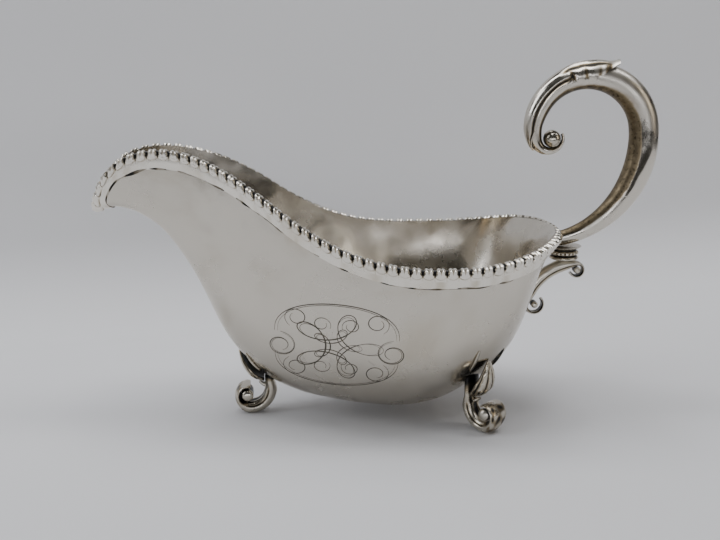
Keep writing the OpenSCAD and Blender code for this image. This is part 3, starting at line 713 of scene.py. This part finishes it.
def handle_leaf_body():
    """The leaf over the head: a flared spur, three side lobes, then a long blade.

    Its edge carries a raised line with a dark groove beside it: bells across the section.
    """
    t = along(handle_path)
    rows = handle_path[(t > LEAF_FROM) & (t < LEAF_TO)]
    t = (rows[:, 3] / handle_path[-1, 3])[:, None]
    f = (t - LEAF_FROM) / (LEAF_TO - LEAF_FROM)
    share = handle_share(t)
    thick = share * HANDLE_THICK / 2 + LEAF_GAP
    across = share * HANDLE_ACROSS / 2 + LEAF_GAP
    spread = (mix(SPUR_SPREAD, LEAF_SPREAD, ease(0, 0.18, f)) * mix(1, 0.9, ease(0.2, 0.5, f))
              * mix(1, 0.4, ease(0.85, 1, f)))
    lobed = ease(0.04, 0.1, f) * ease(0.42, 0.34, f)
    scallop = np.abs(sind(180 * (f - 0.04) / 0.1))
    spread = spread * (1 - 0.16 * lobed * (1 - scallop ** 0.7))
    lift = SPUR_LIFT * (1 - ease(-0.02, 0.1, f)) ** 2
    g = np.linspace(-1, 1, 73)[None, :]
    edge = np.abs(g)
    sheet = LEAF_THICK * mix(1, 0.5, f)
    blade = ease(0.28, 0.42, f)
    bead = 0.30 * hump(edge, 0.93, 0.055) * blade
    groove = 0.34 * hump(edge, 0.79, 0.07) * blade
    lumps = lobed * (0.42 * scallop * hump(edge, 0.72, 0.24) - 0.30 * hump(edge, 0.36, 0.1))
    rib = 0.22 * hump(edge, 0, 0.16) * ease(0.02, 0.1, f) * ease(0.4, 0.3, f)
    # The relief is cut into the leaf's sheet, never proud of it
    top = np.clip(0.58 * sheet + 1.3 * (lumps + rib + bead) - 1.6 * groove, 0.12, sheet)
    outside = beside(rows, (thick + top) * cosd(spread * g) + lift,
                     (across + top) * sind(spread * g))
    inside = beside(rows, thick * cosd(spread * g) + lift, across * sind(spread * g))
    rings = np.concatenate([outside, inside[:, ::-1]], 1)
    dark = (0.95 * hump(edge, 0.79, 0.075) * blade + lobed * 0.8 * hump(edge, 0.36, 0.1)
            + lobed * 0.85 * (1 - scallop) ** 3 * ease(0.3, 0.8, edge)
            + 0.7 * hump(f, 0.075, 0.02) * ease(0.3, 0.7, edge))
    marks = np.concatenate([np.clip(dark, 0, 1), np.full((len(rows), g.shape[1]), 0.9)], 1)
    return loft(rings, marks)


make_piece("handle_leaf_chased", [handle_leaf_body()], struck, ["handle_leaf"])


def ball_body():
    """A ball with soft file flats on its skin, a little full at its sides."""
    a = np.linspace(-90, 90, 73)
    full = 1 + 0.02 * hump(np.abs(a), 50, 25) - 0.02
    profile = np.stack([HANDLE_BALL_R * cosd(a) * full, HANDLE_BALL_R * sind(a)], -1)
    profile[[0, -1], 0] = 0
    centre = [BALL_CENTRE[0], 0, BALL_CENTRE[1]]
    soft = lambda q, h: 1 - 0.012 * (1 + ripple(q / 57.3, h / HANDLE_BALL_R, 8, 2.2)) / 2
    rings = lathe(profile, 96, centre, "y", soft)
    q = 360 * np.arange(96)[None, :] / 96
    marks = 0.75 * ease(60, 20, np.abs(a))[:, None] * ease(0.2, 0.9, cosd(q - 200))
    return loft(rings, marks)


make_piece("handle_ball_turned", [ball_body()], cast, ["handle_ball"])

# ---- Collar and bracket ----
COLLAR_X = ROOT_X + COLLAR_R * 0.9
COLLAR_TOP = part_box("handle_collar")[1].z / MM
COLLAR_FOOT = COLLAR_TOP - COLLAR_HEIGHT


def collar_body():
    """A turned spool: a plate, a hollow neck, a row of beads, a hollow and a foot plate."""
    z = np.linspace(0, 1, 61)
    knots = [0, 0.1, 0.3, 0.42, 0.58, 0.7, 0.84, 0.96, 1]
    radii = [0.8, 0.86, 0.68, 0.84, 0.84, 0.7, 0.74, 0.99, 0.99]
    r = np.interp(z, knots, radii)
    r = np.convolve(np.pad(r, 2, "edge"), np.ones(5) / 5, "valid")
    profile = np.stack([r * COLLAR_R, COLLAR_FOOT + z * COLLAR_HEIGHT], -1)
    profile = np.concatenate([[[0, COLLAR_FOOT]], profile, [[0, COLLAR_TOP]]])

    def beads(q, h):
        """Twenty beads round the middle: the radius swells by the square root of a cosine."""
        level = hump(h - COLLAR_FOOT, COLLAR_HEIGHT * 0.5, COLLAR_HEIGHT * 0.1)
        return 1 - 0.12 * level * (1 - np.abs(cosd(10 * q)) ** 0.6)

    rings = lathe(profile, 240, [COLLAR_X, 0, 0], "z", beads)
    hollow = hump(z, 0.28, 0.09) + hump(z, 0.74, 0.09)
    marks = np.concatenate([[0], np.clip(hollow, 0, 1), [0.5]])[:, None]
    q = 1.5 * np.arange(240)[None, :]
    middle = np.concatenate([[0], hump(z, 0.5, 0.1), [0]])[:, None]
    gaps = middle * (1 - np.abs(cosd(10 * q)) ** 0.6)
    return loft(rings, np.clip(marks + gaps, 0, 1))


make_piece("collar_beaded", [collar_body()], cast, ["handle_collar"])

UPPER_CURL_R, LOWER_CURL_R = BRACKET_BALL_R + 1.1, BRACKET_BALL_R + 1.9
UPPER_EYE = np.array([COLLAR_X + 4.8, COLLAR_FOOT - SOLDER - BRACKET_THICK * 0.4 - UPPER_CURL_R])
LOWER_REACH = 75
ARCH_R = float((UPPER_EYE[0] - back_wall_x(0.0, UPPER_EYE[1] - 10) - BRACKET_THICK * 0.36)
               / sind(LOWER_REACH))
BRACKET_START = UPPER_EYE + UPPER_CURL_R * np.array([sind(-60), -cosd(-60)])
bracket_path = arc_path(BRACKET_START, -60,
                        [[UPPER_CURL_R, 240], [ARCH_R, LOWER_REACH], [LOWER_CURL_R, 230]], 0.35)


def fluted(q, depth, mark):
    """A section's change in radius, and its marks, by angle: a raised line and a groove on
    each side of a hollow that faces the inside of the curve (180 degrees)."""
    a = np.abs(np.abs(q) % 360)
    a = np.where(a > 180, 360 - a, a)
    line = hump(a, 136, 10) * 0.5
    groove = hump(a, 112, 9)
    hollow = ease(146, 176, a)
    return depth * (line - groove - hollow), np.clip(mark * (0.9 * groove + hollow), 0, 1)


def bracket_body():
    """The scroll: an oval that swells in the arch, fluted inside, flat against the wall."""
    t = along(bracket_path)[:, None]
    share = mix(0.24, 1, ease(0.16, 0.34, t) * (1 - ease(0.62, 0.84, t)))
    q = -360 * np.arange(48)[None, :] / 48
    swell, marks = fluted(q, 0.45 * share, 1.0)
    thick = share * BRACKET_THICK / 2 + swell
    across = mix(0.7, 1, share) * BRACKET_ACROSS / 2 + swell * 0.5
    rings = beside(bracket_path, thick * cosd(q), across * sind(q))
    wall = back_wall_x(rings[..., 1], rings[..., 2]) + SOLDER
    rings[..., 0] = np.maximum(rings[..., 0], wall)
    curl = np.maximum(ease(0.22, 0.05, t), ease(0.8, 0.95, t))
    inner = np.where(cosd(q) < -0.2, 0.9, 0.0)
    return loft(rings, np.maximum(marks, curl * inner))


make_piece("bracket_fluted", [bracket_body()], cast, ["bracket_scroll"])


def eye_body(centre, radius, across, turn=0.0):
    """A pin with domed ends and a ring round each dome, turned about the upright by turn."""
    a = np.linspace(0, 90, 15)
    dome = radius * 0.7
    half = np.stack([radius * cosd(a), across / 2 + dome * sind(a)], -1)
    middle = np.linspace(-1, 1, 9)[1:-1]
    pinch = 1 - 0.08 * hump(np.abs(middle), 0.75, 0.12)
    waist = np.stack([radius * pinch, middle * across / 2], -1)
    profile = np.concatenate([half[::-1] * [1, -1], waist, half])
    profile[[0, -1], 0] = 0
    ring = lathe(profile, 48, [0, 0, 0], "y")
    x = ring[..., 0] * cosd(turn) - ring[..., 1] * sind(turn)
    y = ring[..., 0] * sind(turn) + ring[..., 1] * cosd(turn)
    marks = np.clip(1 - (np.abs(profile[:, 1]) - across * 0.38) / (across * 0.14), 0, 1) * 0.9
    return loft(np.stack([x, y, ring[..., 2]], -1) + np.asarray(centre, float), marks[:, None])


LOWER_EYE = arc_centre(*bracket_path[-1, :3], LOWER_CURL_R)
for word, eye in (("upper", UPPER_EYE), ("lower", LOWER_EYE)):
    body = eye_body([eye[0], 0, eye[1]], BRACKET_BALL_R - SOLDER, BRACKET_ACROSS * 0.6)
    make_piece(f"bracket_pin_{word}", [body], cast, [f"bracket_eye_{word}"])

# ---- Feet ----
TOE_ACROSS, STAND_FLAT, TOE_SLACK = 1.3, 0.4, 0.9
TOE_WRAP = TOE_BALL_R + SOLDER
STANCE_X = float(rib_x(12 / LAST_ROW)) + STANCE_AFT
LEG_ARCS = [[9, 16], [7, 89], [TOE_WRAP + 2.6, 66], [TOE_WRAP + 1.8, 60],
            [TOE_WRAP + TOE_SLACK, 74]]
leg_path = arc_path([0, 0], -106, LEG_ARCS, 0.4)


def leg_share(t):
    return (mix(0.74, 1, ease(0, 0.14, t)) * mix(1, 0.5, ease(0.5, 0.75, t))
            * mix(1, 0.4, ease(0.7, 1, t)))


leg_path[:, 1] -= (leg_path[:, 1] - leg_share(along(leg_path)) * LEG_THICK / 2).min() + STAND_FLAT
LEG_TOP = float(leg_path[0, 1])
TOE_CENTRE = arc_centre(*leg_path[-1, :3], TOE_WRAP + TOE_SLACK)


def foot_place(p, angle):
    """From the foot's own plane to the bowl's, turned about the middle of the stance."""
    out = (FRONT_FOOT_R if angle == 180 else BACK_FOOT_R) + p[..., 0]
    return np.stack([STANCE_X + out * cosd(angle) - p[..., 1] * sind(angle),
                     out * sind(angle) + p[..., 1] * cosd(angle), p[..., 2]], -1)


def leg_bodies(angle):
    """The leg: knee rings under the bowl, a fluted shank and a broad curled toe; a thorn."""
    t = along(leg_path)[:, None]
    share = leg_share(t)
    q = -360 * np.arange(48)[None, :] / 48
    shank = ease(0.03, 0.12, t) * ease(0.62, 0.5, t)
    swell, marks = fluted(q, 0.40 * shank, 1.0)
    marks = marks * shank
    thick = share * LEG_THICK / 2 + swell
    # The toe is solid up to its pin, but for a hair
    gap = np.hypot(*(leg_path[:, :2] - TOE_CENTRE).T)[:, None] - TOE_BALL_R - 0.2
    fill = np.maximum(thick, np.minimum(gap, 3.0 * thick))
    thick = np.where(cosd(q) < 0, mix(thick, fill, ease(0.55, 0.75, t)), thick)
    across = mix(1, TOE_ACROSS, ease(0.3, 0.75, t)) * LEG_ACROSS / 2 + swell * 0.4
    rings = beside(leg_path, thick * cosd(q), across * sind(q))
    rings[..., 2] = np.maximum(0, rings[..., 2])
    inner = ease(0.1, -0.5, cosd(q))
    # A pitted dark stain on the pad of the toe, sulphide in the curl's hollow
    pad = ease(0.5, 0.62, t) * ease(0.98, 0.85, t) * ease(-0.1, 0.6, cosd(q))
    pad = pad * np.clip(0.35 + 0.5 * ripple(leg_path[:, 3, None], q / 9, 17, 5.0), 0, 1)
    marks = np.maximum(marks, ease(0.5, 0.68, t) * inner * 0.95)
    marks = np.maximum(marks, pad * 0.9)
    placed = foot_place(rings, angle)
    knee = []
    for size in (0.5, 1.0):
        ring = foot_place(rings[0] * [size, size, 0], angle)
        ring[:, 2] = bowl_floor(ring[:, 0], ring[:, 1]) - 0.5 * SOLDER
        knee.append(ring)
    marks = np.concatenate([np.full((2, 48), 0.95), marks])
    thorn_path = arc_path([0.4, LEG_TOP - 1.5], -8, [[3.4, 62]], 0.3)
    s = along(thorn_path)[:, None]
    r = mix(1.15, 0.42, s) * mix(1, 1.25, hump(s, 1, 0.12)) * ease(1.12, 0.93, s)
    around = -360 * np.arange(24)[None, :] / 24
    thorn = beside(thorn_path, r * cosd(around), 1.3 * r * sind(around))
    thorn_marks = 0.9 * ease(0.35, 0.0, s) + 0 * around
    return [loft(np.concatenate([knee, placed]), marks),
            loft(foot_place(thorn, angle), thorn_marks)]


LEAF_START = np.array([float(leg_share(0)) * LEG_THICK / 2 + SOLDER, LEG_TOP + 1.2])


def leaf_tip(angle):
    """The place on the bowl that is the leaf's length from its start, by halving."""
    low, high = LEAF_START[0] - 3, LEAF_START[0] + KNEE_LEAF
    for _ in range(20):
        mid = (low + high) / 2
        place = foot_place(np.array([mid, 0.0, 0.0]), angle)
        tip = np.array([mid, float(bowl_floor(place[0], place[1])) - 2 * SOLDER])
        low, high = (low, mid) if np.linalg.norm(tip - LEAF_START) > KNEE_LEAF else (mid, high)
    return tip


def foot_leaf_body(angle):
    """A cupped blade on a bent spine, its outer face ribbed along its length."""
    tip = leaf_tip(angle)
    corner = LEAF_START + KNEE_LEAF * np.array([0.56, 0.06])
    f = np.linspace(0, 1, 49)[:, None]
    g = np.linspace(-1, 1, 61)[None, :]
    spine = mix(mix(LEAF_START, corner, f), mix(corner, tip, f), f)
    run = mix(corner - LEAF_START, tip - corner, f)
    heading = np.degrees(np.arctan2(run[:, 1], run[:, 0]))
    rows = np.stack([spine[:, 0], spine[:, 1], heading, 0 * heading], -1)
    half = KNEE_LEAF * 0.46 * sind(180 * mix(0.12, 0.985, f) ** 0.85) ** 0.75
    half = half * (1 - 0.05 * np.abs(sind(900 * f)))
    cup = 2.2 * g * g * sind(180 * mix(0.15, 1, f))
    thick = mix(1.1, 0.6, f)
    rib = np.abs(cosd(90 * 3.5 * g)) ** 0.8
    full = ease(0.0, 0.2, f) * ease(1.0, 0.8, f)
    relief = 0.42 * (rib - 1) * full
    outer = foot_place(beside(rows, thick + relief - cup, half * g), angle)
    inner = foot_place(beside(rows, 0 * thick - cup, half * g), angle)
    roof = bowl_floor(outer[..., 0], outer[..., 1]) - 5 * SOLDER
    outer[..., 2] = np.minimum(outer[..., 2], roof)
    roof = bowl_floor(inner[..., 0], inner[..., 1]) - 2 * SOLDER
    inner[..., 2] = np.minimum(inner[..., 2], roof)
    rings = np.concatenate([outer[:, ::-1], inner], 1)
    dark = np.clip((1 - rib) ** 1.4 * full * 1.1 + 0.8 * ease(0.12, 0.0, f), 0, 1)
    marks = np.concatenate([dark[:, ::-1], np.full(dark.shape, 0.97)], 1)
    return loft(rings, marks)


def side_lobe_body(angle, side):
    """A slim bud lying on the bowl beside the leaf: rings that swell to a round end."""
    s = np.linspace(0, 1, 25)
    out = LEAF_START[0] + mix(1.0, 6.4, s)
    across = side * mix(5.4, 7.2, s)
    spot = foot_place(np.stack([out, across, 0 * out], -1), angle)
    floor = bowl_floor(spot[:, 0], spot[:, 1])
    r = 0.85 * (sind(180 * mix(0.04, 0.96, s ** 1.3))) ** 0.5
    q = 360 * np.arange(20)[None, :] / 20
    side_way = np.array([-sind(angle), cosd(angle)])
    x = spot[:, 0, None] + (r[:, None] * cosd(q)) * side_way[0]
    y = spot[:, 1, None] + (r[:, None] * cosd(q)) * side_way[1]
    z = floor[:, None] - r[:, None] * 0.55 + r[:, None] * sind(q)
    z = np.minimum(z, bowl_floor(x, y) + 0.05)
    marks = np.clip(0.75 * (cosd(q) * -side > 0.2) + 0.9 * ease(0.25, 0, s)[:, None], 0, 1)
    return loft(np.stack([x, y, z], -1), marks)


PIN_ACROSS = LEG_ACROSS * TOE_ACROSS * 0.75
for word, angle in (("front", 180.0), ("back_left", -BACK_FOOT_ANGLE),
                    ("back_right", BACK_FOOT_ANGLE)):
    make_piece(f"{word}_foot_shank", leg_bodies(angle), cast, [f"{word}_foot_leg"])
    make_piece(f"{word}_foot_palmette",
               [foot_leaf_body(angle), side_lobe_body(angle, -1.0), side_lobe_body(angle, 1.0)],
               cast, [f"{word}_foot_leaf"])
    place = foot_place(np.array([TOE_CENTRE[0], 0.0, TOE_CENTRE[1]]), angle)
    make_piece(f"{word}_foot_pin", [eye_body(place, TOE_BALL_R, PIN_ACROSS, angle)],
               cast, [f"{word}_foot_eye"])


# ---- Engraved flourish: scrolls of no meaning, cut into the left wall ----
def left_wall(x, z):
    """Place and outward normal on the left wall at a length along and a height."""
    u = rib_u(x)
    keel = offset_at(KEEL, u)
    rise = np.clip((z - keel) / (offset_at(RIM, u) - keel), 0.002, 0.998)
    s = (1 - (1 - rise) ** offset_at(FULL, u)) ** (1 / rib_round(u))
    w = -np.degrees(np.arcsin(np.clip(s, 0, 1))) / 90
    return bowl_point(u, w), bowl_normal(u, w)


def scroll_line(centre, start, turn, size, grow, count=90):
    """A spiral in plan: radius size times e^(grow times the turn), flattened a little."""
    a = start + turn * np.linspace(0, 1, count)
    r = size * np.exp(grow * np.abs(a - start) / 360)
    return np.stack([centre[0] + r * cosd(a), centre[1] + 0.92 * r * sind(a)], -1)


def cut_body(line, width, height=0.045):
    """A raised hair of V section along a line on the wall, its width swelling mid-way."""
    place, normal = left_wall(line[:, 0], line[:, 1])
    ahead = np.gradient(place, axis=0)
    ahead = ahead / np.linalg.norm(ahead, axis=1, keepdims=True)
    across = np.cross(normal, ahead)
    t = np.linspace(0, 1, len(line))
    half = width / 2 * (0.3 + 0.7 * sind(180 * t) ** 0.8)[:, None, None]
    section = np.array([[-1, 0.2], [0, 1], [1, 0.2], [1, -1], [0, -1], [-1, -1]])
    rings = (place[:, None] + across[:, None] * section[None, :, :1] * half
             + normal[:, None] * section[None, :, 1:] * height)
    return loft(rings, 0.7)


FLOURISH_X, FLOURISH_Z = X_MID - 17.0, 32.0


def flourish_bodies():
    """A looped rosette inside two arches, with spirals about it: it stands for nothing.

    The rosette is x = 9.5 cos t + 6 cos 4t, z = 8 sin t - 5 sin 4t, with five loops. The
    rosette, the arches and the two largest spirals have a fine second line beside each line; the
    other spirals are single.
    """
    bodies = []

    def cut(line, width):
        bodies.append(cut_body(line + [FLOURISH_X, FLOURISH_Z], width))

    t = np.linspace(0, 360, 420)
    for grow, width in ((1.0, 0.42), (0.93, 0.2), (0.55, 0.3), (0.5, 0.18)):
        x = 9.5 * cosd(t) + 6.0 * cosd(4 * t)
        z = 8.0 * sind(t) - 5.0 * sind(4 * t)
        cut(grow * np.stack([x, z], -1), width)
    t = np.linspace(0, 180, 160)
    for grow, width in ((1.0, 0.4), (0.955, 0.2)):
        for up in (1, -1):
            arch = np.stack([20.5 * grow * cosd(t), up * (4.0 + 12.0 * grow * sind(t) ** 0.8)], -1)
            cut(arch, width)
    for mirror in (-1, 1):
        for cx, cz, start, turn, size, grow, width in (
                (18.6, -1.4, 90, 520, 5.6, -0.62, 0.36), (18.4, -1.4, 95, 460, 5.0, -0.62, 0.2),
                (13.4, -9.6, 60, -500, 4.6, -0.6, 0.34), (13.2, 9.8, -60, 470, 4.2, -0.6, 0.34),
                (4.9, -8.2, 150, 420, 3.2, -0.6, 0.3), (4.9, 8.2, 210, -420, 3.2, -0.6, 0.3)):
            cut(scroll_line((cx, cz), start, turn, size, grow) * [mirror, 1], width)
    return bodies


make_piece("engraved_flourish", flourish_bodies(), graved)

# ---- Table, backdrop, light and camera ----
FOLD_Y, FOLD_SLANT = 0.125, 0.23


def paper_sheet():
    """A sheet of pale paper: level under the boat, then bent up along a slanting soft fold."""
    x = np.linspace(-0.62, 0.62, 63)[:, None]
    run = np.concatenate([np.linspace(-0.50, -0.08, 16), np.linspace(-0.075, 0.075, 41),
                          np.linspace(0.08, 0.55, 14)])[None, :]
    bend = 0.05
    over = np.maximum(0, run)
    turn = np.minimum(over / bend, math.radians(72))
    rest = np.maximum(0, over - bend * math.radians(72))
    y = np.minimum(run, 0) + bend * np.sin(turn) + rest * math.cos(math.radians(72))
    z = bend * (1 - np.cos(turn)) + rest * math.sin(math.radians(72))
    z = z + 0.0006 * hump(run, -0.004, 0.006) + 0 * x
    grid = np.stack(np.broadcast_arrays(x, y + FOLD_Y + FOLD_SLANT * x, z), -1)
    n, m = grid.shape[:2]
    i, j = np.meshgrid(np.arange(n - 1), np.arange(m - 1), indexing="ij")
    a = (i * m + j).ravel()
    faces = np.stack([a, a + m, a + m + 1, a + 1], -1)
    mesh = bpy.data.meshes.new("paper_sheet")
    mesh.from_pydata(grid.reshape(-1, 3).tolist(), [], faces.tolist())
    mesh.shade_smooth()
    return mesh


def paper():
    """Uncoated pale grey paper: matt, with a faint cloud in its tone."""
    material = bpy.data.materials.new("uncoated_paper")
    material.use_nodes = True
    tree = material.node_tree
    place = add(tree, "ShaderNodeTexCoord").outputs["Object"]
    cloud = add(tree, "ShaderNodeTexNoise", {"Vector": place, "Scale": 5.0, "Detail": 4.0})
    shader = tree.nodes["Principled BSDF"]
    tree.links.new(add_mix(tree, cloud.outputs["Fac"], hex_rgb("#D3D3D5"), hex_rgb("#DADADB")),
                   shader.inputs["Base Color"])
    shader.inputs["Roughness"].default_value = 0.75
    return material


sheet = bpy.data.objects.new("paper_sheet", paper_sheet())
sheet.data.materials.append(paper())
bpy.context.scene.collection.objects.link(sheet)

world = bpy.data.worlds.new("studio")
bpy.context.scene.world = world
world.use_nodes = True
sky = world.node_tree
direction = add(sky, "ShaderNodeTexCoord").outputs["Generated"]
height = add(sky, "ShaderNodeSeparateXYZ", {"Vector": direction}).outputs["Z"]
ramp = add(sky, "ShaderNodeValToRGB", {"Fac": height})
ramp.color_ramp.elements[0].color = hex_rgb("#4A4946")
ramp.color_ramp.elements[0].position = 0.35
ramp.color_ramp.elements[1].color = hex_rgb("#5F605F")
sky.links.new(ramp.outputs["Color"], sky.nodes["Background"].inputs["Color"])
sky.nodes["Background"].inputs["Strength"].default_value = 0.55


def softbox(name, place, aim, size, power, tint="#FFFFFF"):
    """A rectangular soft light at a place, turned to face a point."""
    light = bpy.data.lights.new(name, "AREA")
    light.shape = "RECTANGLE"
    light.size, light.size_y = size
    light.energy = power
    light.color = hex_rgb(tint)[:3]
    lamp = bpy.data.objects.new(name, light)
    lamp.location = place
    lamp.rotation_euler = (Vector(aim) - Vector(place)).to_track_quat("-Z", "Y").to_euler()
    bpy.context.scene.collection.objects.link(lamp)
    return lamp


AIM = (0, 0, 0.05)
for k, x in enumerate((-0.75, 0.0, 0.75)):
    softbox(f"ceiling_panel_{k}", (x, 0.15 - 0.1 * k, 1.35), (x * 0.4, 0, 0.05), (0.36, 1.3),
            7.4, "#FBFCFF")
softbox("window_left", (-1.2, -0.25, 0.75), AIM, (0.45, 0.9), 5.5, "#F4F8FF")
softbox("low_fill_right", (1.25, -0.45, 0.45), AIM, (0.3, 0.7), 1.4, "#FFF1DC")
softbox("low_fill_front", (0, -0.95, 0.16), (0, 0.05, 0.0), (1.5, 0.16), 2.6, "#F6F8FF")

VIEW_DISTANCE, VIEW_UP, VIEW_ROUND = 0.420, 13.5, -4.5
LOOK_AT = Vector((-0.00670, 0.00052, 0.05167))
back_way = Vector((sind(VIEW_ROUND) * cosd(VIEW_UP), -cosd(VIEW_ROUND) * cosd(VIEW_UP),
                   sind(VIEW_UP)))
camera = bpy.data.objects.new("camera", bpy.data.cameras.new("camera"))
camera.data.sensor_width = 36.0
camera.data.lens = 58.9
camera.data.clip_start = 0.01
camera.location = LOOK_AT + back_way * VIEW_DISTANCE
camera.rotation_euler = (-back_way).to_track_quat("-Z", "Y").to_euler()
bpy.context.scene.collection.objects.link(camera)
bpy.context.scene.camera = camera

bpy.context.view_layer.update()
